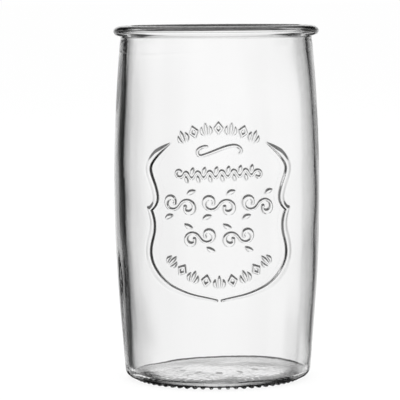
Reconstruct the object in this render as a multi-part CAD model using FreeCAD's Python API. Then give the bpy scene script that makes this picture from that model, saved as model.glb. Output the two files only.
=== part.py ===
import FreeCAD, Part

import math
import os

# Pressed and blown glass tumbler with a rolled rim, a barrel-shaped wall, a knurled
# bearing ring and a raised shield on the front. Millimetres, +Z up, the table at Z = 0,
# the axis of the glass on Z and the shield facing -Y.

V = FreeCAD.Vector
P2 = FreeCAD.Base.Vector2d

# Overall shape
HEIGHT = 137.2            # table to the crest of the rim
BELLY_RADIUS = 39.9       # widest part of the wall, outside
BELLY_HEIGHT = 73.4       # where the wall is widest
BELLY_BLEND = 22.5        # length over which the wall turns from upright to the taper
SHOULDER_RADIUS = 37.25   # top of the barrel wall, outside
FOOT_RADIUS = 35.95       # where the taper would meet the underside
HEEL_BLEND = 3.0          # rounding between the taper and the underside
HEEL_HEIGHT = 6.0         # top of the mould's base plate

# Rim and neck
NECK_STEP = 0.2           # neck band inside the shoulder
NECK_HEIGHT = 2.5
NECK_WALL = 2.6
BEAD_OVERHANG = 2.7       # rim bead outside the neck band
BEAD_HEIGHT = 4.1
BEAD_CREST = 2.1          # crest of the rim above the bead's widest line
LIP_WIDTH = 1.5           # from the bore to the crest of the rim
LIP_ROUND = 1.5           # depth of the rounding inside the mouth

# Wall and floor
WALL = 2.9                # at the belly
FOOT_WALL = 2.2           # just above the floor
FLOOR = 2.3               # thickness of the floor at its edge
FLOOR_RISE = 1.8          # height of its dome, inside
FLOOR_BLEND = 1.0         # rounding between the floor and the wall
BEARING_WIDTH = 3.9       # flat ring between the heel and the hollow underneath
PUNT_RISE = 1.8           # depth of that hollow

# Knurls that carry the glass
KNURL_COUNT = 64
KNURL_RISE = 0.8          # height under the flat of the base
KNURL_ROOT = 1.5          # width where it leaves the base
KNURL_FOOT = 0.6          # width of its flat foot
KNURL_MARGIN = 0.2        # plain glass left at each end

# Marks under the floor
MARK_COUNT = 12
MARK_RING = 16.0
MARK_LENGTH = 3.0
MARK_WIDTH = 0.9
MARK_RISE = 0.3

# Shield and its ornaments, drawn flat and wrapped round the wall
RELIEF = 0.55             # height of the ornaments on the wall
BORDER_RELIEF = 0.8       # height of the border
BORDER_WIDTH = 2.2        # widest part of the shield's border
STROKE = 1.8              # widest part of the scrolls
HAIRLINE = 0.8            # narrowest part of the scrolls
LEAF_WIDTH = 1.6
SCROLL_LEAN = -40.0       # degrees from a curl's middle to where the scroll's link leaves it
SCROLL_LINK = 2.6         # length of the link between a scroll's two curls
SCROLL_TURNS = 0.95
CURL_CLOSING = 0.4        # a curl's last radius over its first
MIDDLE_ROW = 70.6         # height of the row's middle line
MIDDLE_CURL = 3.2         # radius of its curls
MIDDLE_COUNT = 3
MIDDLE_PITCH = 14.9       # from one scroll to the next
LOWER_ROW = 58.4          # the same for the row under it
LOWER_CURL = 3.0
LOWER_COUNT = 2
LOWER_PITCH = 14.6
LEAF_BEND = 0.25          # how far a leaf's middle is pushed sideways
PEN_SWELL = 1.15          # how early a stroke thins again towards its curl
CURL_END = 1.3            # width of the blunt end inside a curl
VOLUTE_POINTS = 10        # in a full turn of a curl
VINE_STROKE = 0.9
VINE_LEAF = 1.4
VINE_WAVES = 6            # waves of the stem, with a leaf in each bend
WAVE_POINTS = 8           # in a full wave
VINE_LENGTH = 27.0
VINE_SWING = 1.2          # stem's wave, either side of its middle line
VINE_CURL = 1.8           # radius of the curl at each end
VINE_TILT = 30.0          # degrees that the end curls are set up or down
VINE_TURNS = 0.8
VINE_HEIGHT = 81.6        # middle line at its left end
VINE_CLIMB = 1.2          # rise from the left end to the right end
VINE_REACH = 3.0          # how far a leaf's tip stands from the middle line
MOTIF_HEIGHT = 5.0        # of each palmette and lozenge
MOTIF_WIDTH = 3.9
MOTIF_STROKE = 0.95       # bar of a lozenge
PALMETTE_LEAF = 1.33      # width of a palmette's leaf
TOP_ARC_RADIUS = 31.0     # curve that the upper motifs follow
TOP_ARC_CREST = 101.9     # top of the motif in the middle
TOP_ARC_COUNT = 7
TOP_ARC_PITCH = 4.75
BOTTOM_ARC_RADIUS = 25.5  # curve that the lower motifs follow
BOTTOM_ARC_SAG = 41.6     # middle line at its lowest
BOTTOM_ARC_COUNT = 9
BOTTOM_ARC_PITCH = 5.1

# Worked out from the sizes above
NECK_RADIUS = SHOULDER_RADIUS - NECK_STEP
BEAD_RADIUS = NECK_RADIUS + BEAD_OVERHANG
BORE_RADIUS = NECK_RADIUS - NECK_WALL
PUNT_RADIUS = FOOT_RADIUS - HEEL_BLEND - BEARING_WIDTH
FLOOR_RADIUS = FOOT_RADIUS - FOOT_WALL - FLOOR_BLEND
BASE_Z = KNURL_RISE
FLOOR_Z = BASE_Z + FLOOR
BEAD_Z = HEIGHT - BEAD_HEIGHT
WALL_TOP = BEAD_Z - NECK_HEIGHT
TOP_ARC_MIDDLE = TOP_ARC_CREST - MOTIF_HEIGHT / 2
WRAP_RADIUS = BELLY_RADIUS            # arc lengths on the flat drawing are kept here
FRONT = 1.5 * math.pi                 # angle of -Y
CUT_INNER = FOOT_RADIUS - WALL        # the relief cutters start inside the wall
CUT_OUTER = max(BELLY_RADIUS, SHOULDER_RADIUS) + 2 * max(RELIEF, BORDER_RELIEF)


# ---- profile of the glass, in the XZ plane ----

def at(r, z):
    return V(r, 0, z)


def line(p, q):
    return Part.LineSegment(p, q).toShape()


def corner_arc(corner, before, after, length):
    """Arc with tangents of one length along the two runs that meet at a corner."""
    back = (before - corner).normalize()
    on = (after - corner).normalize()
    half = back.getAngle(on) / 2
    radius = length * math.tan(half)
    inward = (back + on).normalize()
    middle = corner + inward * (radius / math.sin(half) - radius)
    return corner + back * length, middle, corner + on * length


def rounded(points):
    """Edges of straight runs through (r, z, blend) points, with an arc at each blend."""
    edges = []
    here = at(*points[0][:2])
    for i in range(1, len(points)):
        corner = at(*points[i][:2])
        if i == len(points) - 1 or points[i][2] == 0:
            edges.append(line(here, corner))
            here = corner
            continue
        after = at(*points[i + 1][:2])
        start, middle, end = corner_arc(corner, here, after, points[i][2])
        if start.distanceToPoint(here) > 1e-6:
            edges.append(line(here, start))
        edges.append(Part.Arc(start, middle, end).toShape())
        here = end
        if here.distanceToPoint(after) < 1e-6:
            break
    return edges


def upright_arc(belly, top):
    """Arc that is upright at the belly and ends at the top point."""
    inset = belly.x - top.x
    rise = top.z - belly.z
    half = math.atan2(inset, rise)
    if abs(half) < 1e-6:
        return line(belly, top)
    radius = rise / math.sin(2 * half)
    middle = at(belly.x - radius * (1 - math.cos(half)), belly.z + radius * math.sin(half))
    return Part.Arc(belly, middle, top).toShape()


def quarter(p, corner, q):
    """Quarter of an ellipse whose end tangents meet at the corner."""
    k = 4 * (math.sqrt(2) - 1) / 3
    curve = Part.BezierCurve()
    curve.setPoles([p, p + (corner - p) * k, q + (corner - q) * k, q])
    return curve.toShape()


def outer_wall(grow=0.0):
    """Outside of the wall from the underside to the shoulder."""
    belly = at(BELLY_RADIUS + grow, BELLY_HEIGHT)
    lower = rounded([
        (PUNT_RADIUS, BASE_Z, 0),
        (FOOT_RADIUS + grow, BASE_Z, HEEL_BLEND),
        (belly.x, BELLY_HEIGHT - BELLY_BLEND, BELLY_BLEND),
        (belly.x, BELLY_HEIGHT, 0),
    ])
    return lower + [upright_arc(belly, at(SHOULDER_RADIUS + grow, WALL_TOP))]


def inner_wall():
    """Inside of the wall from the mouth down to the floor."""
    belly = at(BELLY_RADIUS - WALL, BELLY_HEIGHT)
    lower = rounded([
        (belly.x, BELLY_HEIGHT, 0),
        (belly.x, BELLY_HEIGHT - BELLY_BLEND, BELLY_BLEND),
        (FOOT_RADIUS - FOOT_WALL, FLOOR_Z, FLOOR_BLEND),
        (FLOOR_RADIUS, FLOOR_Z, 0),
    ])
    return [upright_arc(belly, at(BORE_RADIUS, WALL_TOP))] + lower


def rim():
    """Neck band, bead and lip, from the shoulder to the bore."""
    side = at(BEAD_RADIUS, HEIGHT - BEAD_CREST)
    crest = at(BORE_RADIUS + LIP_WIDTH, HEIGHT)
    bore = at(BORE_RADIUS, HEIGHT - LIP_ROUND)
    return [
        line(at(SHOULDER_RADIUS, WALL_TOP), at(NECK_RADIUS, WALL_TOP)),
        line(at(NECK_RADIUS, WALL_TOP), at(NECK_RADIUS, BEAD_Z)),
        quarter(at(NECK_RADIUS, BEAD_Z), at(BEAD_RADIUS, BEAD_Z), side),
        quarter(side, at(BEAD_RADIUS, HEIGHT), crest),
        quarter(crest, at(BORE_RADIUS, HEIGHT), bore),
        line(bore, at(BORE_RADIUS, WALL_TOP)),
    ]


def dome(radius, edge_z, rise):
    """Shallow arc from the edge of a round hollow to its crest on the axis."""
    ball = (radius ** 2 + rise ** 2) / (2 * rise)
    turn = math.asin(radius / ball) / 2
    middle = at(ball * math.sin(turn), edge_z + rise - ball * (1 - math.cos(turn)))
    return Part.Arc(at(radius, edge_z), middle, at(0, edge_z + rise)).toShape()


def glass_section():
    punt = dome(PUNT_RADIUS, BASE_Z, PUNT_RISE)
    floor = dome(FLOOR_RADIUS, FLOOR_Z, FLOOR_RISE)
    axis = line(at(0, BASE_Z + PUNT_RISE), at(0, FLOOR_Z + FLOOR_RISE))
    edges = [punt] + outer_wall() + rim() + inner_wall() + [floor, axis]
    return Part.Face(Part.Wire(Part.__sortEdges__(edges)))


def slab(low, high):
    reach = BELLY_RADIUS + BEAD_RADIUS
    corners = [at(0, low), at(reach, low), at(reach, high), at(0, high), at(0, low)]
    return Part.Face(Part.makePolygon(corners))


def ring(section, low, high):
    """Solid of revolution of the part of a section between two heights."""
    cut = section.common(slab(low, high))
    return cut.Faces[0].revolve(V(0, 0, 0), V(0, 0, 1), 360)


# ---- parts below the floor ----

def knurls():
    """Rounded bars with flat feet, set like the hours of a clock under the base."""
    root = KNURL_ROOT / 2
    foot = KNURL_FOOT / 2
    axis_z = (root ** 2 - foot ** 2 + KNURL_RISE ** 2) / (2 * KNURL_RISE)
    radius = math.hypot(foot, axis_z)
    first = PUNT_RADIUS + KNURL_MARGIN + root
    last = FOOT_RADIUS - HEEL_BLEND - KNURL_MARGIN - root
    bar = Part.makeCylinder(radius, last - first, at(first, axis_z), V(1, 0, 0))
    ends = [Part.makeSphere(radius, at(r, axis_z)) for r in (first, last)]
    reach = 4 * radius
    layer = Part.makeBox(last + reach, reach, KNURL_RISE, V(0, -reach / 2, 0))
    knurl = bar.fuse(ends).common(layer).removeSplitter().Solids[0]
    return [turned(knurl, 360.0 * i / KNURL_COUNT) for i in range(KNURL_COUNT)]


def turned(shape, degrees):
    copy = shape.copy()
    copy.rotate(V(0, 0, 0), V(0, 0, 1), degrees)
    return copy


def marks():
    """Short bars and dots by turns, raised on the hollow under the floor."""
    low = dome(PUNT_RADIUS, BASE_Z - MARK_RISE, PUNT_RISE)
    high = dome(PUNT_RADIUS, BASE_Z, PUNT_RISE)
    middle = line(at(0, BASE_Z - MARK_RISE + PUNT_RISE), at(0, BASE_Z + PUNT_RISE))
    edge = line(at(PUNT_RADIUS, BASE_Z - MARK_RISE), at(PUNT_RADIUS, BASE_Z))
    skin = Part.Face(Part.Wire(Part.__sortEdges__([low, edge, high, middle])))
    skin = skin.revolve(V(0, 0, 0), V(0, 0, 1), 360)
    tall = 2 * (PUNT_RISE + FLOOR)
    corner = V(MARK_RING - MARK_LENGTH / 2, -MARK_WIDTH / 2, -tall / 2)
    bar = Part.makeBox(MARK_LENGTH, MARK_WIDTH, tall, corner)
    dot = Part.makeCylinder(MARK_WIDTH, tall, at(MARK_RING, -tall / 2))
    made = []
    for i in range(MARK_COUNT):
        cutter = turned(bar if i % 2 == 0 else dot, 360.0 * i / MARK_COUNT)
        made += skin.common(cutter).Solids
    return made


# ---- drawing on the wall: (u, z) with u the arc length from the middle of the shield ----

def wrapped(curve):
    """Edges on the wrapping cylinder from a flat 2D spline, one for each of its spans."""
    for i in range(1, curve.NbPoles + 1):
        pole = curve.getPole(i)
        curve.setPole(i, P2(FRONT + pole.x / WRAP_RADIUS, pole.y))
    cylinder = Part.Cylinder()
    cylinder.Radius = CUT_INNER
    knots = curve.getKnots()
    return [curve.toShape(cylinder, a, b) for a, b in zip(knots, knots[1:])]


def spline(points):
    curve = Part.Geom2d.BSplineCurve2d()
    curve.interpolate([P2(u, z) for u, z in points])
    return curve


def cutter(curves):
    """Radial prism over a closed outline of flat curves."""
    wire = Part.Wire([edge for curve in curves for edge in wrapped(curve)])
    cylinder = Part.Cylinder()
    cylinder.Radius = CUT_INNER
    face = Part.Face(cylinder, wire)
    face.validate()
    return face.makeOffsetShape(CUT_OUTER - CUT_INNER, 1e-4, fill=True)


def raised(curves, skin):
    """The part of the raised layer that lies over an outline."""
    return cutter(curves).common(skin).Solids


def solid_section(grow):
    """Section of the wall as if the glass were full, closed on the axis."""
    top = at(SHOULDER_RADIUS + grow, WALL_TOP)
    closing = [(PUNT_RADIUS, BASE_Z), (0, BASE_Z), (0, WALL_TOP), (top.x, WALL_TOP)]
    runs = [line(at(*p), at(*q)) for p, q in zip(closing, closing[1:])]
    return Part.Face(Part.Wire(Part.__sortEdges__(outer_wall(grow) + runs)))


def relief_skin(rise):
    """Layer of glass all round the wall."""
    return ring(solid_section(rise).cut(solid_section(0)), HEEL_HEIGHT, WALL_TOP)


def stroke(points, widths):
    """Outline of a pen stroke that swells and thins along a line, with round ends."""
    middle = spline(points)
    left, right, caps = [], [], []
    for knot, width in zip(middle.getKnots(), widths):
        p, d = middle.value(knot), middle.tangent(knot)
        half = width / 2 / math.hypot(d.x, d.y)
        left.append((p.x - d.y * half, p.y + d.x * half))
        right.append((p.x + d.y * half, p.y - d.x * half))
        caps.append([(p.x + d.x * on, p.y + d.y * on) for on in (-half, half)])
    return [
        spline(left), spline([left[-1], caps[-1][1], right[-1]]),
        spline(right[::-1]), spline([right[0], caps[0][0], left[0]]),
    ]


def leaf(base, tip, width, bend=0.0):
    """Pointed leaf between two points, its middle pushed sideways by the bend."""
    du, dz = tip[0] - base[0], tip[1] - base[1]
    size = math.hypot(du, dz)
    nu, nz = -dz / size, du / size
    sides = []
    for offset in (bend + width / 2, bend - width / 2):
        middle = (base[0] + du / 2 + nu * offset, base[1] + dz / 2 + nz * offset)
        sides.append(spline([base, middle, tip]))
    return sides


def volute(centre, start, end, angle, turns):
    """Points of a spiral that winds in from one radius to another; turns < 0 go clockwise."""
    count = round(abs(turns) * VOLUTE_POINTS)
    points = []
    for k in range(count + 1):
        share = k / count
        radius = start * (end / start) ** share
        a = math.radians(angle) + 2 * math.pi * turns * share
        points.append((centre[0] + radius * math.cos(a), centre[1] + radius * math.sin(a)))
    return points


# Right half of the border's inner edge as (u, z, share of the full width outside it).
# The two runs meet in the notch at the shield's waist.
BORDER_UPPER = [
    (17.6, 94.5, 0.1), (20.4, 92.1, 0.45), (23.2, 89.6, 0.75), (25.7, 87.0, 0.95),
    (27.1, 84.3, 1.0), (26.5, 81.4, 0.95), (25.1, 78.2, 0.9), (24.1, 75.0, 0.85),
    (23.9, 72.6, 0.8), (24.6, 70.6, 0.75), (26.9, 68.3, 0.7),
]
BORDER_LOWER = [
    (26.9, 68.3, 0.7), (25.9, 65.9, 0.75), (25.4, 62.9, 0.8), (25.8, 59.4, 0.9), (26.8, 56.3, 1.0),
    (27.5, 52.9, 1.0), (27.2, 49.8, 1.0), (25.7, 46.6, 0.95), (22.7, 43.1, 0.8), (19.1, 40.4, 0.65),
    (15.0, 38.5, 0.5), (10.5, 37.0, 0.4), (5.3, 35.9, 0.3), (0.9, 34.9, 0.2),
]


def straight(p, q):
    side = Part.Geom2d.BSplineCurve2d()
    side.buildFromPolesMultsKnots([P2(*p), P2(*q)], [2, 2], [0, 1], False, 1)
    return side


def polygon(points):
    """Straight-sided outline."""
    return [straight(p, q) for p, q in zip(points, points[1:] + points[:1])]


def outside(run):
    """Normals that point out of the shield along a run of border points."""
    normals = []
    for i in range(len(run)):
        p, q = run[max(i - 1, 0)], run[min(i + 1, len(run) - 1)]
        du, dz = q[0] - p[0], q[1] - p[1]
        size = math.hypot(du, dz)
        normals.append((-dz / size, du / size))
    return normals


def border_half(side):
    """Outline of half of the border; side is 1 for +X and -1 for -X."""
    normals = [outside(BORDER_UPPER), outside(BORDER_LOWER)]
    (au, az), (bu, bz) = normals[0][-1], normals[1][0]
    share = 1 / (1 + au * bu + az * bz)
    normals[0][-1] = normals[1][0] = ((au + bu) * share, (az + bz) * share)
    inner, outer = [], []
    for run, ways in zip((BORDER_UPPER, BORDER_LOWER), normals):
        inner.append([(side * u, z) for u, z, w in run])
        outer.append([(side * (u + w * BORDER_WIDTH * n[0]), z + w * BORDER_WIDTH * n[1])
                      for (u, z, w), n in zip(run, ways)])
    return [
        spline(inner[0]), spline(inner[1]), straight(inner[1][-1], outer[1][-1]),
        spline(outer[1][::-1]), spline(outer[0][::-1]), straight(outer[0][0], inner[0][0]),
    ]


def on_arc(points, along, radius, crest):
    """Moves a motif to a place along an arc; a negative radius sags instead of rising."""
    turn = along / radius
    across, up = math.cos(turn), math.sin(turn)
    moved = []
    for u, z in points:
        out = radius + z
        moved.append((out * up + u * across, crest - radius + out * across - u * up))
    return moved


def lozenge(place, skin):
    """Open diamond of even stroke."""
    half_u, half_z = MOTIF_WIDTH / 2, MOTIF_HEIGHT / 2
    inset = 1 - MOTIF_STROKE * math.hypot(half_u, half_z) / (half_u * half_z)
    outlines = []
    for share in (1.0, inset):
        corners = [(half_u * share, 0), (0, half_z * share), (-half_u * share, 0), (0, -half_z * share)]
        outlines.append(cutter(polygon(place(corners))))
    return outlines[0].cut(outlines[1]).common(skin).Solids


def palmette(place, skin):
    """Three leaves that open from one point."""
    low, high = -MOTIF_HEIGHT / 2, MOTIF_HEIGHT / 2
    width = PALMETTE_LEAF
    reach = (MOTIF_WIDTH - MOTIF_STROKE) / 2
    leaves = [((0, low), (0, high), width, 0)]
    for side in (1, -1):
        leaves.append(((side * width / 2, low), (side * reach, high - width), width, -side * width / 2))
    made = []
    for base, tip, leaf_width, bend in leaves:
        base, tip = place([base, tip])
        made += raised(leaf(base, tip, leaf_width, bend), skin)
    return made


def motif_arc(count, pitch, radius, crest, skin):
    """Palmettes and lozenges by turns along an arc."""
    made = []
    for i in range(count):
        along = (i - (count - 1) / 2) * pitch
        shape = palmette if i % 2 == 0 else lozenge
        made += shape(lambda points: on_arc(points, along, radius, crest), skin)
    return made


def flourish(skin):
    """Long thin pen flourish under the upper motifs."""
    points = [
        (-4.2, 92.5), (-6.6, 92.1), (-8.0, 90.6), (-7.4, 89.2), (-5.4, 89.3), (-0.5, 91.1),
        (4.6, 92.7), (7.6, 92.3), (8.6, 90.9), (7.8, 89.9),
    ]
    widths = [0.6, 0.9, 1.1, 0.95, 0.9, 1.1, 1.1, 0.95, 0.9, 0.6]
    return raised(stroke(points, widths), skin)


def vine(skin):
    """Waving stem with a curl at each end and a leaf in every bend."""
    steps = WAVE_POINTS * VINE_WAVES
    half = WAVE_POINTS // 2
    stem = []
    for k in range(steps + 1):
        share = k / steps
        stem.append((VINE_LENGTH * (share - 0.5), VINE_HEIGHT + VINE_CLIMB * share))
    wave = [(u, z + VINE_SWING * math.sin(math.pi * k / half)) for k, (u, z) in enumerate(stem)]
    tilt = math.radians(VINE_TILT)
    across, up = VINE_CURL * math.cos(tilt), VINE_CURL * math.sin(tilt)
    centre = (wave[0][0] - across, wave[0][1] + up)
    left = volute(centre, VINE_CURL, VINE_STROKE, -VINE_TILT, -VINE_TURNS)
    centre = (wave[-1][0] + across, wave[-1][1] - up)
    right = volute(centre, VINE_CURL, VINE_STROKE, 180 - VINE_TILT, -VINE_TURNS)
    path = left[::-1] + wave[1:-1] + right
    made = raised(stroke(path, [VINE_STROKE] * len(path)), skin)
    for k in range(half // 2, steps, half):
        u, z = stem[k]
        side = -1 if k % WAVE_POINTS < half else 1
        made += raised(leaf((u - 0.3, z), (u + 0.6, z + side * VINE_REACH), VINE_LEAF), skin)
    return made


def s_scroll(centre, radius, side):
    """Two curls wound opposite ways and joined by one stroke; side -1 mirrors it."""
    lean = math.radians(SCROLL_LEAN)
    half_link = SCROLL_LINK / 2
    middle = (
        radius * math.cos(lean) - half_link * math.sin(lean),
        radius * math.sin(lean) + half_link * math.cos(lean),
    )
    first = volute((-middle[0], -middle[1]), radius, CURL_CLOSING * radius, SCROLL_LEAN, -SCROLL_TURNS)
    second = volute(middle, radius, CURL_CLOSING * radius, SCROLL_LEAN + 180, -SCROLL_TURNS)
    run = []
    for k in range(len(first)):
        swell = math.sin(math.pi * min(1.0, PEN_SWELL * k / (len(first) - 1))) ** 2
        run.append(HAIRLINE + (STROKE - HAIRLINE) * swell)
    run[0] = CURL_END
    path = [(centre[0] + side * u, centre[1] + z) for u, z in first[::-1] + second]
    return stroke(path, run + run[::-1])


def scroll_row(count, pitch, height, radius, side, skin):
    """Scrolls side by side, each with a leaf over its low curl and one under its high curl."""
    made = []
    for i in range(count):
        u = (i - (count - 1) / 2) * pitch
        made += raised(s_scroll((u, height), radius, side), skin)
        for way in (side, -side):
            base = (u + way * 0.85 * radius, height + way * side * 1.2 * radius)
            tip = (u + way * 1.95 * radius, height + way * side * 1.7 * radius)
            made += raised(leaf(base, tip, LEAF_WIDTH, way * side * LEAF_BEND), skin)
    return made


# ---- nodes ----

def build():
    section = glass_section()
    skin = relief_skin(RELIEF)
    border_skin = relief_skin(BORDER_RELIEF)
    return {
        "base_plate": [ring(section, BASE_Z, HEEL_HEIGHT)],
        "side_wall": [ring(section, HEEL_HEIGHT, WALL_TOP)],
        "neck_band": [ring(section, WALL_TOP, BEAD_Z)],
        "rim_bead": [ring(section, BEAD_Z, HEIGHT)],
        "bearing_knurls": knurls(),
        "underside_marks": marks(),
        "shield_border": [half for side in (1, -1) for half in raised(border_half(side), border_skin)],
        "upper_motifs": motif_arc(TOP_ARC_COUNT, TOP_ARC_PITCH, TOP_ARC_RADIUS, TOP_ARC_MIDDLE, skin),
        "pen_flourish": flourish(skin),
        "leafy_vine": vine(skin),
        "middle_scrolls": scroll_row(MIDDLE_COUNT, MIDDLE_PITCH, MIDDLE_ROW, MIDDLE_CURL, 1, skin),
        "lower_scrolls": scroll_row(LOWER_COUNT, LOWER_PITCH, LOWER_ROW, LOWER_CURL, -1, skin),
        "lower_motifs": motif_arc(
            BOTTOM_ARC_COUNT, BOTTOM_ARC_PITCH, -BOTTOM_ARC_RADIUS, BOTTOM_ARC_SAG, skin),
    }


os.makedirs("parts", exist_ok=True)
for name, solids in build().items():
    shape = solids[0] if len(solids) == 1 else Part.makeCompound(solids)
    shape.exportStep("parts/" + name + ".step")
    state = "valid" if shape.isValid() else "NOT VALID"
    print(name, len(solids), "solids", round(shape.Volume, 1), "mm3", state)
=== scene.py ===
import bisect
import math

import bpy
from mathutils import Matrix, Vector, noise
from mathutils.bvhtree import BVHTree


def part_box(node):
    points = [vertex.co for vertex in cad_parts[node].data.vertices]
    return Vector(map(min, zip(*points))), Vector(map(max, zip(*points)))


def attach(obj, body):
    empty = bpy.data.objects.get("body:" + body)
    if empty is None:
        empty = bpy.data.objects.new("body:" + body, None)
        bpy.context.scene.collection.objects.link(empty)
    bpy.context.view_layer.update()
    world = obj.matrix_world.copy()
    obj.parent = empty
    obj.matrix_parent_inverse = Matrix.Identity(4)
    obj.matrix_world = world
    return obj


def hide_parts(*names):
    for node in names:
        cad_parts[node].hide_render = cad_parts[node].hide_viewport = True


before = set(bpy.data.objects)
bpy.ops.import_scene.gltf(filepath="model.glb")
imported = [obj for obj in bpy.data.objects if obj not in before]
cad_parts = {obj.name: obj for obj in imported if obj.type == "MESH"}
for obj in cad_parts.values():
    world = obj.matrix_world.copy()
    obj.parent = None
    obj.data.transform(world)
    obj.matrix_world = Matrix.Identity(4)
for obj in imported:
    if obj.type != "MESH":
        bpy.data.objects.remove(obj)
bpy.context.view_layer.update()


def srgb(text):
    # hex colour as it is seen, turned to the linear values that the shaders take
    values = [int(text[i:i + 2], 16) / 255 for i in (0, 2, 4)]
    linear = [v / 12.92 if v <= 0.04045 else ((v + 0.055) / 1.055) ** 2.4 for v in values]
    return (*linear, 1.0)


def addNode(tree, kind, settings=None, links=None):
    # one shader node: settings by name, a socket's start value as "in:Name", links as socket -> output
    node = tree.nodes.new(kind)
    for name, value in (settings or {}).items():
        if name.startswith("in:"):
            key = name[3:]
            node.inputs[int(key) if key.isdigit() else key].default_value = value
        else:
            setattr(node, name, value)
    for name, output in (links or {}).items():
        tree.links.new(output, node.inputs[int(name) if name.isdigit() else name])
    return node


def selectNothing():
    if bpy.context.object and bpy.context.object.mode != "OBJECT":
        bpy.ops.object.mode_set(mode="OBJECT")
    bpy.ops.object.select_all(action="DESELECT")


def smoothStep(x):
    x = min(1.0, max(0.0, x))
    return x * x * (3 - 2 * x)


# the glass is one closed skin, lathed and then embossed
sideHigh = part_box("side_wall")[1]
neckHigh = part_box("neck_band")[1]
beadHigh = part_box("rim_bead")[1]
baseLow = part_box("base_plate")[0]
hair = 0.00001                   # heights and radii closer than this count as the same

glass = {
    "bellyRadius": sideHigh.x,
    "bellyHeight": 0.0734,
    "bellyBlend": 0.0225,        # the wall turns from upright to the taper over this length
    "shoulderRadius": 0.03725,
    "shoulderHeight": sideHigh.z,
    "footRadius": 0.03595,       # where the taper would meet the underside
    "baseHeight": baseLow.z,     # the flat of the base, above the table
    "heelBlend": 0.003,
    "neckRadius": neckHigh.x,
    "neckTop": neckHigh.z,
    "beadRadius": beadHigh.x,
    "beadCrest": 0.0021,         # crest of the rim above the bead's widest line
    "top": beadHigh.z,
    "neckWall": 0.0026,
    "lipWidth": 0.0015,
    "lipRound": 0.0015,
    "wall": 0.0029,
    "footWall": 0.0022,
    "floor": 0.0023,             # thickness of the floor at its edge
    "floorBlend": 0.0007,        # fillet between the floor and the wall
    "floorRise": 0.0018,
    "puntRadius": 0.02905,       # hollow under the floor
    "puntRise": 0.0018,
    "cornerSoft": 0.00035,       # fire-polished inner corners round the neck
    "columns": 180,
    "heelHeight": 0.0031,
}
glass["boreRadius"] = glass["neckRadius"] - glass["neckWall"]
glass["heelTop"] = glass["baseHeight"] + glass["heelHeight"]

# distance between the rows of faces in each zone of the section, from the punt round to the floor
rowStep = {
    "punt": 0.002, "marks": 0.0008, "bearing": 0.0013, "heel": 0.001,
    "lower": 0.0028, "shield": 0.00142, "upper": 0.0024,
    "neck": 0.0005, "bead": 0.00047, "lip": 0.0005, "bore": 0.0014,
    "inside": 0.0036, "shelf": 0.0004, "corner": 0.0003, "floor": 0.0016,
}
walk = {
    "step": 0.00005,             # the section is walked in steps of this
    "leftOver": 0.35,            # a run's end gets its own row when this share of a row is left
    "shelfZone": 0.003,          # the shelf's fine rows reach this far up and down
}

shield = {
    "border": "shield_border",
    "ornaments": ["upper_motifs", "pen_flourish", "leafy_vine",
                  "middle_scrolls", "lower_scrolls", "lower_motifs"],
    "wrapRadius": glass["bellyRadius"],
    "margin": 0.002,             # finer rows run on past the relief by this
    "reach": 0.0325,             # round the wall from the middle
    "rise": 0.00055,
    "softOut": 0.00022,          # how far the foot of a stroke spreads outside its outline
    "softEdge": 0.00058,         # width of a stroke's soft shoulder
    "straightness": 0.85,        # how straight a stroke's side is between its rounded ends
    "borderRise": 0.0008,
    "borderSlope": 0.0006,       # width of the border's inner slope
    "crestLine": 0.0007,         # its crest, outside its inner edge
    "outerFlank": 0.0016,        # how far its gentle outer flank runs on
    "fullWidth": 0.0018,         # a narrower stretch of it is shaped in proportion
    "leastShare": 0.3,
    "tipFade": 0.005,            # its height fades over this at the upper ends
    "tipMargin": 0.0005,
    "faceOn": 0.6,               # a face that turns this far outwards is skin, not a side
    "strokeSearch": 0.002,       # how far a stroke's side is looked for
    "borderSearch": 0.006,
    "rayStart": 0.01,            # rays that ask if a point is under the raised layer start here
    "rayLength": 0.0105,
    "near": 0.0021,              # finer faces up to this far from anything raised
    "nearSlope": 0.0007,         # and finer still this near to the border's inner slope
    "skinDepth": 0.001,          # faces no deeper than this belong to the outside
    "cuts": 4,
    "slopeCuts": 1,
}
shield["low"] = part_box("shield_border")[0].z - shield["margin"]
shield["high"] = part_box("upper_motifs")[1].z + shield["margin"]
shield["middle"] = (shield["low"] + shield["high"]) / 2

# small bars that the glass stands on
knurls = {
    "count": 64, "inner": 0.02925, "outer": 0.03275,
    "root": 0.0015,              # width of a bar where it leaves the glass
    "foot": 0.0006,              # and of the flat that it stands on
    "margin": 0.0004,
    "cuts": 3,
}

# ring of bars and dots under the floor
marks = {
    "count": 12, "ring": 0.016, "inner": 0.0135, "outer": 0.0185,
    "length": 0.003, "width": 0.0009, "rise": 0.0003,
    "softOut": 0.0002,
    "softEdge": 0.0005,
    "cuts": 1,
}

# how far the blown and pressed glass strays from its true section, and over what length
waver = {
    "inside": 0.00022, "insideSize": 0.022, "insideSeed": 11.0,
    "outside": 0.00004, "outsideSize": 0.018, "outsideSeed": 3.0,
    "outsideFade": 0.004,
    "floor": 0.00014, "floorSize": 0.012, "floorSeed": 5.0,
    "grain": 0.00004, "grainSize": 0.0035, "grainSeed": 8.0,
    "bead": 0.00006, "beadSize": 0.006, "beadSeed": 21.0,
    "heel": 0.00012, "heelSize": 0.005, "heelSeed": 31.0,
    "heelFadeLow": 0.0006,
    "heelFadeHigh": 0.001,
    "offCentre": 0.0009,         # the cavity stands this far to one side
    "floorOffCentre": 0.7,       # share of that at the floor
    "rimClear": 0.004,           # all of it is gone this far below the top
    "rimFade": 0.03,             # and it comes back over this height
    "floorFade": 0.014,          # the floor's waver gives way to the wall's over this height
    "shelf": 0.00007,            # wandering ledge under the rim, where the plunger stopped
    "shelfHeight": 0.1275, "shelfWidth": 0.00045,
    "shelfTilt": 0.0009, "shelfTurn": 0.7, "shelfRipple": 0.0006,
}


def at(radius, height):
    # a point of the section
    return Vector((radius, height))


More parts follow.
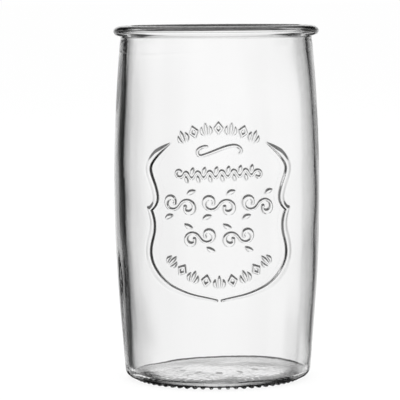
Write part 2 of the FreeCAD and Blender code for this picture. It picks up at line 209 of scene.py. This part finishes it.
def bend(a, corner, b, count=24):
    # quarter of an ellipse whose end tangents meet at the corner
    k = 4 * (math.sqrt(2) - 1) / 3
    p, q = a.lerp(corner, k), b.lerp(corner, k)
    points = []
    for i in range(count + 1):
        t = i / count
        points.append(a * (1 - t) ** 3 + p * 3 * t * (1 - t) ** 2 + q * 3 * t * t * (1 - t) + b * t ** 3)
    return points


def blendArc(before, corner, after, length, count=24):
    # circular arc with tangents of one length along both runs
    back, on = (before - corner).normalized(), (after - corner).normalized()
    half = back.angle(on) / 2
    radius = length * math.tan(half)
    centre = corner + (back + on).normalized() * (radius / math.sin(half))
    start = corner + back * length - centre
    turn = math.pi - 2 * half
    cross = start.x * (corner.y - centre.y) - start.y * (corner.x - centre.x)
    side = 1 if cross > 0 else -1
    points = []
    for i in range(count + 1):
        a = side * turn * i / count
        points.append(centre + Vector((start.x * math.cos(a) - start.y * math.sin(a),
                                       start.x * math.sin(a) + start.y * math.cos(a))))
    return points


def uprightArc(belly, top, count=40):
    # arc that is upright at the belly
    half = math.atan2(belly.x - top.x, top.y - belly.y)
    radius = (top.y - belly.y) / math.sin(2 * half)
    points = []
    for i in range(count + 1):
        a = 2 * half * i / count
        points.append(Vector((belly.x - radius * (1 - math.cos(a)), belly.y + radius * math.sin(a))))
    return points


def domeArc(radius, edge, rise, count=24):
    # shallow arc from the edge of a round hollow to the axis
    ball = (radius ** 2 + rise ** 2) / (2 * rise)
    turn = math.asin(radius / ball)
    points = []
    for i in range(count + 1):
        a = turn * (1 - i / count)
        points.append(Vector((ball * math.sin(a), edge + rise - ball * (1 - math.cos(a)))))
    return points


def glassRuns():
    # the section from the axis under the punt, round the outside and back down to the floor
    g = glass
    base, floorTop = g["baseHeight"], g["baseHeight"] + g["floor"]
    belly = at(g["bellyRadius"], g["bellyHeight"])
    knee = at(belly.x, belly.y - g["bellyBlend"])
    heelCorner = at(g["footRadius"], base)
    puntEdge = at(g["puntRadius"], base)
    heel = blendArc(puntEdge, heelCorner, knee, g["heelBlend"])
    turnIn = blendArc(heelCorner, knee, belly, g["bellyBlend"])
    shoulder = at(g["shoulderRadius"], g["shoulderHeight"])
    neckLowPoint = at(g["neckRadius"], g["shoulderHeight"] + g["cornerSoft"])
    neckTopPoint = at(g["neckRadius"], g["neckTop"])
    soft = g["cornerSoft"]
    beadFoot = at(g["neckRadius"] + soft, g["neckTop"])
    beadSide = at(g["beadRadius"], g["top"] - g["beadCrest"])
    crest = at(g["boreRadius"] + g["lipWidth"], g["top"])
    bore = at(g["boreRadius"], g["top"] - g["lipRound"])
    innerBelly = at(belly.x - g["wall"], belly.y)
    innerKnee = at(innerBelly.x, knee.y)
    innerFoot = at(g["footRadius"] - g["footWall"], floorTop)
    floorEdge = at(innerFoot.x - g["floorBlend"], floorTop)
    corner = blendArc(floorEdge, innerFoot, innerKnee, g["floorBlend"])
    innerTurn = blendArc(innerFoot, innerKnee, innerBelly, g["bellyBlend"])
    innerTop = at(g["boreRadius"], g["shoulderHeight"])
    return [
        ("punt", domeArc(g["puntRadius"], base, g["puntRise"])[::-1]),
        ("bearing", [puntEdge, heel[0]]),
        ("heel", heel),
        ("wall", [heel[-1], turnIn[0]] + turnIn[1:] + uprightArc(belly, shoulder)[1:]),
        ("neck", bend(shoulder, at(g["neckRadius"], shoulder.y), neckLowPoint, 6)),
        ("neck", [neckLowPoint, at(neckTopPoint.x, neckTopPoint.y - soft)]),
        ("neck", bend(at(neckTopPoint.x, neckTopPoint.y - soft), neckTopPoint, beadFoot, 6)),
        ("bead", bend(beadFoot, at(g["beadRadius"], g["neckTop"]), beadSide)),
        ("bead", bend(beadSide, at(g["beadRadius"], g["top"]), crest)),
        ("lip", bend(crest, at(g["boreRadius"], g["top"]), bore)),
        ("bore", [bore, innerTop]),
        ("inside", uprightArc(innerBelly, innerTop)[::-1] + innerTurn[::-1]),
        ("inside", [innerTurn[0], corner[-1]]),
        ("corner", corner[::-1]),
        ("floor", domeArc(floorEdge.x, floorTop, g["floorRise"])),
    ]


def glassProfile():
    # the rows of faces: the runs are walked, and each zone leaves a row at its own distance
    rows = [(glassRuns()[0][1][0], "punt")]
    for zone, points in glassRuns():
        travelled = 0.0
        for p, q in zip(points, points[1:]):
            length = (q - p).length
            parts = max(1, math.ceil(length / walk["step"]))
            for i in range(1, parts + 1):
                here = p.lerp(q, i / parts)
                travelled += length / parts
                name = zone
                if zone == "wall":
                    name = "shield"
                    if here.y < shield["low"] or here.y > shield["high"]:
                        name = "lower" if here.y < shield["low"] else "upper"
                if zone == "punt" and marks["inner"] < here.x < marks["outer"]:
                    name = "marks"
                if zone == "inside" and abs(here.y - waver["shelfHeight"]) < walk["shelfZone"]:
                    name = "shelf"
                if travelled >= rowStep[name]:
                    rows.append((here, name))
                    travelled = 0.0
        if (points[-1] - rows[-1][0]).length > walk["leftOver"] * rowStep[rows[-1][1]]:
            rows.append((points[-1], rows[-1][1]))
    return rows


def radiusReader(*zones):
    # a function that gives the radius of the named runs at a height
    table = []
    for zone, points in glassRuns():
        if zone in zones:
            table.extend((p.y, p.x) for p in points)
    table.sort()
    heights = [z for z, r in table]

    def radius(z):
        i = min(max(bisect.bisect_left(heights, z), 1), len(table) - 1)
        (za, ra), (zb, rb) = table[i - 1], table[i]
        share = min(1.0, max(0.0, (z - za) / (zb - za))) if zb > za else 0.0
        return ra + (rb - ra) * share
    return radius


def latheGlass():
    # the section is drawn by extruding one point from row to row, then spun
    rows = glassProfile()
    start = rows[0][0]
    selectNothing()
    bpy.ops.mesh.primitive_plane_add(size=0.001, location=(0, start.x, start.y))
    piece = bpy.context.object
    piece.name = "glassTumbler"
    bpy.ops.object.transform_apply(location=True, rotation=True, scale=True)
    bpy.ops.object.mode_set(mode="EDIT")
    bpy.ops.mesh.select_all(action="SELECT")
    bpy.ops.mesh.merge(type="CENTER")           # the lathe's first point, on the axis
    for (p, _), (q, _) in zip(rows, rows[1:]):
        move = (0, q.x - p.x, q.y - p.y)
        bpy.ops.mesh.extrude_region_move(TRANSFORM_OT_translate={"value": move})
    bpy.ops.mesh.select_all(action="SELECT")
    bpy.ops.mesh.spin(steps=glass["columns"], angle=2 * math.pi, center=(0, 0, 0), axis=(0, 0, 1))
    bpy.ops.mesh.select_all(action="SELECT")
    bpy.ops.mesh.remove_doubles(threshold=hair)
    bpy.ops.mesh.normals_make_consistent(inside=False)
    bpy.ops.object.mode_set(mode="OBJECT")
    bpy.ops.object.shade_smooth()
    print("glass lathed:", len(rows), "rows,", len(piece.data.polygons), "faces")
    return piece


def refine(piece, cuts, test):
    # finer faces where the test of a face's centre says so
    selectNothing()
    bpy.context.view_layer.objects.active = piece
    piece.select_set(True)
    bpy.ops.object.mode_set(mode="EDIT")
    bpy.ops.mesh.select_mode(type="FACE")
    bpy.ops.mesh.select_all(action="DESELECT")
    bpy.ops.object.mode_set(mode="OBJECT")
    for face in piece.data.polygons:
        face.select = test(face.center)
    bpy.ops.object.mode_set(mode="EDIT")
    bpy.ops.mesh.subdivide(number_cuts=cuts)
    bpy.ops.object.mode_set(mode="OBJECT")


def arcLength(point):
    # distance round the wall from the middle of the shield, -Y, towards +X
    return math.atan2(point.x, -point.y) * shield["wrapRadius"]


def flatRadius(point):
    return math.hypot(point.x, point.y)


def sortFaces(nodes, kind):
    # search trees of the faces of some CAD nodes, one for each kind of face
    groups = {}
    for node in nodes:
        mesh = bpy.data.objects[node].data
        for face in mesh.polygons:
            corners, faces = groups.setdefault(kind(face), ([], []))
            faces.append([len(corners) + i for i in range(len(face.vertices))])
            corners.extend(mesh.vertices[i].co.copy() for i in face.vertices)
    return {name: BVHTree.FromPolygons(corners, faces) for name, (corners, faces) in groups.items()}


def faceKind(face):
    # the raised layer's skin, or one of the border's two flanks
    out = Vector((face.center.x, face.center.y, 0)).normalized()
    if abs(face.normal.dot(out)) > shield["faceOn"]:
        return "skin"
    across = Vector((0, 0, 1)).cross(out)
    along = face.normal.dot(across) * -arcLength(face.center)
    return "inward" if along + face.normal.z * (shield["middle"] - face.center.z) > 0 else "outward"


def strokeSide(depth, width):
    # height share on a raised stroke's side, straight but for rounded ends; depth counts inwards
    share = min(1.0, max(0.0, (depth + shield["softOut"]) / width))
    straight = shield["straightness"]
    return straight * share + (1 - straight) * smoothStep(share)


def reliefField():
    # gives how far the wall stands out at a point of it
    def skinOrSide(face):
        return "skin" if faceKind(face) == "skin" else "side"

    ornaments = sortFaces(shield["ornaments"], skinOrSide)
    border = sortFaces([shield["border"]], faceKind)
    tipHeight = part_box(shield["border"])[1].z + shield["tipMargin"]

    def inside(tree, point, out):
        hit = tree.ray_cast(point + out * shield["rayStart"], -out, shield["rayLength"])
        return hit[0] is not None

    def height(point, out):
        middle = point + out * (shield["rise"] / 2)
        _, _, _, gap = ornaments["side"].find_nearest(middle, shield["strokeSearch"])
        best = 0.0
        if gap is not None:
            depth = gap if inside(ornaments["skin"], point, out) else -gap
            best = shield["rise"] * strokeSide(depth, shield["softEdge"])
        _, _, _, near = border["inward"].find_nearest(middle, shield["borderSearch"])
        if near is None:
            return best
        _, _, _, far = border["outward"].find_nearest(middle, shield["borderSearch"])
        if far is None:
            far = shield["borderSearch"]
        isIn = inside(border["skin"], point, out)
        rise = shield["borderRise"] * smoothStep((tipHeight - point.z) / shield["tipFade"])
        if not isIn and near <= far:
            return max(best, rise * strokeSide(-near, shield["borderSlope"]))
        width = near + far if isIn else near - far
        share = min(1.0, max(shield["leastShare"], width / shield["fullWidth"]))
        crest = share * shield["crestLine"]
        fall = (near - crest) / (width + share * shield["outerFlank"] - crest)
        side = strokeSide(near, share * shield["borderSlope"])
        return max(best, rise * side * (1 - smoothStep(fall)))
    return height


def stray(point, kind):
    # slow waver of hot glass, metres
    seed = Vector((waver[kind + "Seed"], 0, 0))
    return waver[kind] * noise.noise(point / waver[kind + "Size"] + seed)


def knurlDepth(point, r):
    # how far inside a knurl's outline, as a share of its sloping side
    turn = math.atan2(point.y, point.x) * knurls["count"] / (2 * math.pi)
    side = abs(turn - round(turn)) * 2 * math.pi / knurls["count"] * r
    end = (knurls["outer"] - knurls["inner"]) / 2 - abs(r - (knurls["inner"] + knurls["outer"]) / 2)
    return min(knurls["root"] / 2 - side, end) / ((knurls["root"] - knurls["foot"]) / 2)


def markDepth(point, r):
    # how far inside a bar or a dot under the floor
    turn = math.atan2(point.y, point.x) * marks["count"] / (2 * math.pi)
    side = abs(turn - round(turn)) * 2 * math.pi / marks["count"] * r
    along = abs(r - marks["ring"])
    if round(turn) % 2 == 0:
        return min(marks["width"] / 2 - side, marks["length"] / 2 - along)
    return marks["width"] - math.hypot(side, along)


def shapeInside(point, out, floorTop):
    # the cavity: off centre, wavering, with a ledge near the top
    fade = smoothStep((glass["top"] - waver["rimClear"] - point.z) / waver["rimFade"])
    upright = smoothStep((point.z - floorTop) / waver["floorFade"])
    lift = stray(point, "inside") * fade * upright
    around = math.atan2(point.y, point.x)
    ledge = waver["shelfHeight"] + waver["shelfTilt"] * math.sin(around + waver["shelfTurn"])
    ledge += waver["shelfRipple"] * math.sin(3 * around)
    lift -= waver["shelf"] * math.exp(-((point.z - ledge) / waver["shelfWidth"]) ** 2)
    sink = (stray(point, "floor") + stray(point, "grain")) * (1 - upright)
    low = waver["floorOffCentre"]
    aside = waver["offCentre"] * fade * (low + (1 - low) * upright)
    return point + out * lift + Vector((aside, 0, sink))


def shapeGlass(piece):
    # lays every point on the true section again, with the relief and the waver of blown glass
    outer = radiusReader("heel", "wall")
    relief = reliefField()
    base = glass["baseHeight"]
    for vertex in piece.data.vertices:
        point = vertex.co
        r = flatRadius(point)
        out = Vector((point.x / r, point.y / r, 0)) if r > hair else Vector((1, 0, 0))
        punt = base + glass["puntRise"] * max(0.0, 1 - (r / glass["puntRadius"]) ** 2)
        isInner = point.z > punt + glass["floor"] / 2 and r < outer(point.z) - glass["wall"] / 2
        if isInner:
            vertex.co = shapeInside(point, out, base + glass["floor"])
        elif glass["heelTop"] < point.z < glass["shoulderHeight"] - hair:
            onWall = out * outer(point.z) + Vector((0, 0, point.z))
            lift = 0.0
            if shield["low"] < point.z < shield["high"] and abs(arcLength(point)) < shield["reach"]:
                lift = relief(onWall, out)
            fade = smoothStep((glass["shoulderHeight"] - point.z) / waver["outsideFade"])
            vertex.co = onWall + out * (lift + fade * stray(onWall, "outside"))
        elif point.z > glass["neckTop"] + hair:
            vertex.co = point + out * stray(point, "bead")
        elif r > knurls["outer"] and base + hair < point.z < glass["heelTop"] + hair:
            fade = smoothStep((point.z - base) / waver["heelFadeLow"])
            fade *= smoothStep((glass["heelTop"] - point.z) / waver["heelFadeHigh"])
            vertex.co = point + out * (fade * stray(point, "heel"))
        elif knurls["inner"] < r < knurls["outer"] and point.z < base + hair:
            slope = 1 - min(1.0, max(0.0, knurlDepth(point, r)))
            vertex.co.z = base * (1 - math.sqrt(1 - slope ** 2))
        elif marks["inner"] < r < marks["outer"] and point.z < base + glass["puntRise"]:
            depth = markDepth(point, r) + marks["softOut"]
            vertex.co.z -= marks["rise"] * smoothStep(depth / marks["softEdge"])
    print("relief and waver laid on")


def refineTumbler(piece):
    # finer faces where something is raised
    wallRadius = radiusReader("wall")
    nodes = [shield["border"]] + shield["ornaments"]
    raised = sortFaces(nodes, lambda face: "all")["all"]
    innerSlope = sortFaces([shield["border"]], faceKind)["inward"]

    def onOutside(centre):
        return flatRadius(centre) > wallRadius(centre.z) - shield["skinDepth"]

    def nearRelief(centre):
        if not shield["low"] < centre.z < shield["high"] or not onOutside(centre):
            return False
        return raised.find_nearest(centre, shield["near"])[0] is not None

    def nearSlope(centre):
        return onOutside(centre) and innerSlope.find_nearest(centre, shield["nearSlope"])[0] is not None

    def onKnurls(centre):
        ring = knurls["inner"] - knurls["margin"] < flatRadius(centre) < knurls["outer"]
        return ring and centre.z < glass["baseHeight"] + hair

    def onMarks(centre):
        ring = marks["inner"] < flatRadius(centre) < marks["outer"]
        return ring and centre.z < glass["baseHeight"] + glass["puntRise"]

    refine(piece, shield["cuts"], nearRelief)
    refine(piece, shield["slopeCuts"], nearSlope)
    refine(piece, knurls["cuts"], onKnurls)
    refine(piece, marks["cuts"], onMarks)


tumbler = latheGlass()
refineTumbler(tumbler)
shapeGlass(tumbler)
print("triangles", sum(len(face.vertices) - 2 for face in tumbler.data.polygons))
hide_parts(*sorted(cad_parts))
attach(tumbler, "root")


glassLook = {
    "ior": 1.52,
    "tint": "F3F3F3",            # neutral grey, seen only through the thick edges
    "absorb": 45.0,              # per metre
    "polish": 0.0,               # roughness of the fire-polished skin
    "chill": 0.05,               # roughness in the patches that the iron mould chilled
    "patchLow": 0.5,             # the patches begin at this level of their pattern
    "patchHigh": 0.75,
    "patchSize": 0.03,
    "cordWidth": 0.004,          # streaks of uneven glass drawn out upwards by the blowing
    "cordStretch": 0.22,
    "cordDepth": 0.00002,
    "peelSize": 0.0016,          # faint orange peel from the mould's coat
    "peelDepth": 0.0000025,
    "grainSize": 0.0014,         # pebbled floor and heel, where the cold plunger and plate pressed
    "grainDepth": 0.00003,
    "grainLow": 0.0045,          # full up to this height, gone at the next
    "grainHigh": 0.0065,
}


def sodaLimeGlass():
    # soda-lime glass, pressed and blown in an iron mould, then fire-polished: clear and bright-edged,
    # with upright streaks that wander in the dark edge lines, and a faint peel in its highlights
    material = bpy.data.materials.new("soda-lime glass")
    material.use_nodes = True
    tree = material.node_tree
    tree.nodes.clear()
    look = glassLook
    coords = addNode(tree, "ShaderNodeTexCoord")
    drawn = addNode(tree, "ShaderNodeMapping", {"in:Scale": (1, 1, look["cordStretch"])},
                    {"Vector": coords.outputs["Object"]})
    cords = addNode(tree, "ShaderNodeTexNoise", {"in:Scale": 1 / look["cordWidth"], "in:Detail": 2.0},
                    {"Vector": drawn.outputs["Vector"]})
    peel = addNode(tree, "ShaderNodeTexNoise", {"in:Scale": 1 / look["peelSize"], "in:Detail": 1.0},
                   {"Vector": coords.outputs["Object"]})
    patches = addNode(tree, "ShaderNodeTexNoise", {"in:Scale": 1 / look["patchSize"], "in:Detail": 3.0},
                      {"Vector": coords.outputs["Object"]})
    skin = addNode(tree, "ShaderNodeMapRange", {
        "in:From Min": look["patchLow"], "in:From Max": look["patchHigh"],
        "in:To Min": look["polish"], "in:To Max": look["chill"],
    }, {"Value": patches.outputs["Fac"]})
    streaked = addNode(tree, "ShaderNodeBump", {"in:Strength": 1.0, "in:Distance": look["cordDepth"]},
                       {"Height": cords.outputs["Fac"]})
    peeled = addNode(tree, "ShaderNodeBump", {"in:Strength": 1.0, "in:Distance": look["peelDepth"]},
                     {"Height": peel.outputs["Fac"], "Normal": streaked.outputs["Normal"]})
    axes = addNode(tree, "ShaderNodeSeparateXYZ", {}, {"Vector": coords.outputs["Object"]})
    low = addNode(tree, "ShaderNodeMapRange", {
        "in:From Min": look["grainHigh"], "in:From Max": look["grainLow"],
    }, {"Value": axes.outputs["Z"]})
    grain = addNode(tree, "ShaderNodeTexNoise", {"in:Scale": 1 / look["grainSize"], "in:Detail": 1.0},
                    {"Vector": coords.outputs["Object"]})
    pebbled = addNode(tree, "ShaderNodeBump", {"in:Distance": look["grainDepth"]}, {
        "Strength": low.outputs["Result"], "Height": grain.outputs["Fac"],
        "Normal": peeled.outputs["Normal"],
    })
    shader = addNode(tree, "ShaderNodeBsdfPrincipled", {
        "in:Base Color": (1, 1, 1, 1), "in:IOR": look["ior"], "in:Transmission Weight": 1.0,
    }, {"Roughness": skin.outputs["Result"], "Normal": pebbled.outputs["Normal"]})
    body = addNode(tree, "ShaderNodeVolumeAbsorption", {
        "in:Color": srgb(look["tint"]), "in:Density": look["absorb"],
    })
    addNode(tree, "ShaderNodeOutputMaterial", {}, {
        "Surface": shader.outputs["BSDF"], "Volume": body.outputs["Volume"],
    })
    return material


tumbler.data.materials.append(sodaLimeGlass())


studio = {
    "floorSize": 80.0,           # wide enough that its edge is never seen
    "paper": "F8F8F8",
    "paperGlow": 0.88,           # share of the paper's own white where the camera sees it
    "lampHeight": 1.4,
    "lampSize": 0.9,
    "lampPower": 14.0,           # watts
    "cameraDistance": 0.931,
    "cameraHeight": 0.149,
    "cameraTurn": 1.06,          # degrees round from the middle of the shield
    "lens": 216.0,               # millimetres, with the sensor below
    "sensor": 36.0,
    "clipNear": 0.01,
    "clipFar": 50.0,
    "aimHeight": 0.0693,
    "aimSide": -0.0066,
    "roll": -0.37,               # degrees
}


def studioFloor():
    # paper that only the camera sees, so it keeps the shadow and the glass sees the cards
    selectNothing()
    bpy.ops.mesh.primitive_plane_add(size=studio["floorSize"])
    floor = bpy.context.object
    floor.name = "studioFloor"
    floor.visible_glossy = False
    floor.visible_transmission = False
    material = bpy.data.materials.new("white paper sweep")
    material.use_nodes = True
    tree = material.node_tree
    tree.nodes.clear()
    path = addNode(tree, "ShaderNodeLightPath")
    paper = addNode(tree, "ShaderNodeBsdfDiffuse", {"in:Color": srgb(studio["paper"])})
    glow = addNode(tree, "ShaderNodeEmission", {"in:Color": (1, 1, 1, 1), "in:Strength": 1.0})
    share = addNode(tree, "ShaderNodeMath", {"operation": "MULTIPLY", "in:1": studio["paperGlow"]},
                    {"0": path.outputs["Is Camera Ray"]})
    mixed = addNode(tree, "ShaderNodeMixShader", {}, {
        "0": share.outputs[0], "1": paper.outputs["BSDF"], "2": glow.outputs["Emission"],
    })
    addNode(tree, "ShaderNodeOutputMaterial", {}, {"Surface": mixed.outputs["Shader"]})
    floor.data.materials.append(material)


# cards round the glass, seen only in it: degrees clockwise from +Y, and brightness
levelCards = [
    (-180, 0.9), (-147, 0.9), (-133, 0.65), (-117, 0.6), (-106, 0.95), (-62, 1.0), (-57, 0.85),
    (-53, 0.08), (-46, 0.02), (-27, 0.03), (-23, 0.3), (-19, 0.6), (-13, 0.8), (-8, 0.94),
    (0, 1.0), (6, 0.94), (10, 0.85), (15, 0.75), (20, 0.62), (25, 0.4), (29, 0.2),
    (33, 0.04), (46, 0.04), (50, 0.2), (66, 0.3), (78, 0.75), (92, 0.9), (180, 0.9),
]
raisedCards = [
    (-180, 1.0), (-75, 1.0), (-60, 0.03), (-12, 0.03), (-5, 0.9),
    (6, 0.9), (13, 0.03), (60, 0.03), (75, 1.0), (180, 1.0),
]
steepCards = [
    (-180, 0.9), (-100, 0.9), (-86, 0.03), (-67, 0.03), (-58, 1.0), (-33, 1.0), (-24, 0.03),
    (24, 0.03), (33, 1.0), (57, 1.0), (67, 0.03), (86, 0.03), (100, 0.9), (180, 0.9),
]
# where one ring of cards gives way to the next: heights of a direction, from -1 down to 1 up
cardHeights = {
    "straightDown": (-0.98, -0.94),
    "pit": (-0.62, -0.54),
    "steep": (-0.235, -0.19),
    "table": (-0.16, -0.03),
    "raised": (0.19, 0.25),
    "roof": (0.45, 0.55),
}
cardTones = {
    "straightDown": 1.0, "pit": 0.04, "table": 0.94, "roof": 0.8,
}


def cardRing(tree, axes, stops):
    # brightness of the tent by direction
    start, span = stops[0][0], stops[-1][0] - stops[0][0]
    turn = addNode(tree, "ShaderNodeMath", {"operation": "ARCTAN2"},
                   {"0": axes.outputs["X"], "1": axes.outputs["Y"]})
    part = addNode(tree, "ShaderNodeMath", {
        "operation": "MULTIPLY_ADD", "in:1": 180 / math.pi / span, "in:2": -start / span,
    }, {"0": turn.outputs[0]})
    around = addNode(tree, "ShaderNodeValToRGB", {}, {"0": part.outputs[0]})
    ramp = around.color_ramp
    ramp.interpolation = "EASE"
    while len(ramp.elements) < len(stops):
        ramp.elements.new(0.5)
    for element, (place, value) in zip(ramp.elements, stops):
        element.position = (place - start) / span
        element.color = (value, value, value, 1)
    return around.outputs["Color"]


def studioWorld():
    world = bpy.data.worlds.new("studio")
    bpy.context.scene.world = world
    world.use_nodes = True
    tree = world.node_tree
    tree.nodes.clear()
    coords = addNode(tree, "ShaderNodeTexCoord")
    axes = addNode(tree, "ShaderNodeSeparateXYZ", {}, {"0": coords.outputs["Generated"]})

    def band(name, below, above):
        # moves from one colour to another as the direction rises through the named height
        low, high = cardHeights[name]
        share = addNode(tree, "ShaderNodeMapRange", {
            "interpolation_type": "SMOOTHSTEP", "in:1": low, "in:2": high,
        }, {"0": axes.outputs["Z"]})
        mix = addNode(tree, "ShaderNodeMix", {"data_type": "RGBA"}, {"0": share.outputs[0]})
        for socket, value in (("6", below), ("7", above)):
            if isinstance(value, float):
                mix.inputs[int(socket)].default_value = (value, value, value, 1)
            else:
                tree.links.new(value, mix.inputs[int(socket)])
        return mix.outputs[2]

    shade = band("table", cardTones["table"], 1.0)
    level = addNode(tree, "ShaderNodeMix", {"data_type": "RGBA", "blend_type": "MULTIPLY", "in:0": 1.0},
                    {"6": cardRing(tree, axes, levelCards), "7": shade}).outputs[2]
    light = band("steep", cardRing(tree, axes, steepCards), level)
    light = band("pit", cardTones["pit"], light)
    light = band("straightDown", cardTones["straightDown"], light)
    light = band("raised", light, cardRing(tree, axes, raisedCards))
    light = band("roof", light, cardTones["roof"])
    path = addNode(tree, "ShaderNodeLightPath")
    seenByGlass = addNode(tree, "ShaderNodeMath", {"operation": "MAXIMUM"},
                          {"0": path.outputs["Is Glossy Ray"], "1": path.outputs["Is Transmission Ray"]})
    colour = addNode(tree, "ShaderNodeMix", {"data_type": "RGBA", "in:6": (1, 1, 1, 1)},
                     {"0": seenByGlass.outputs[0], "7": light})
    back = addNode(tree, "ShaderNodeBackground", {"in:Strength": 1.0}, {"0": colour.outputs[2]})
    addNode(tree, "ShaderNodeOutputWorld", {}, {"0": back.outputs[0]})


def studioCamera():
    s = studio
    turn = math.radians(s["cameraTurn"])
    place = Vector((-math.sin(turn), -math.cos(turn), 0)) * s["cameraDistance"]
    place.z = s["cameraHeight"]
    side = Vector((math.cos(turn), -math.sin(turn), 0))
    aim = side * s["aimSide"] + Vector((0, 0, s["aimHeight"]))
    look = (aim - place).normalized()
    facing = look.to_track_quat("-Z", "Y").to_matrix().to_4x4()
    roll = Matrix.Rotation(math.radians(s["roll"]), 4, "Z")
    data = bpy.data.cameras.new("camera")
    data.lens = s["lens"]
    data.sensor_width = s["sensor"]
    data.clip_start = s["clipNear"]
    data.clip_end = s["clipFar"]
    camera = bpy.data.objects.new("camera", data)
    camera.matrix_world = Matrix.Translation(place) @ facing @ roll
    bpy.context.scene.collection.objects.link(camera)
    bpy.context.scene.camera = camera


def studioLamp():
    # one wide soft box overhead, which gives the paper its faint shadow
    selectNothing()
    bpy.ops.object.light_add(type="AREA", location=(0, 0, studio["lampHeight"]))
    lamp = bpy.context.object
    lamp.name = "softBox"
    lamp.data.shape = "DISK"
    lamp.data.size = studio["lampSize"]
    lamp.data.energy = studio["lampPower"]
    lamp.visible_camera = False
    lamp.visible_glossy = False
    lamp.visible_transmission = False


studioFloor()
studioWorld()
studioLamp()
studioCamera()
bpy.context.scene.view_settings.view_transform = "Standard"
print("stage set")
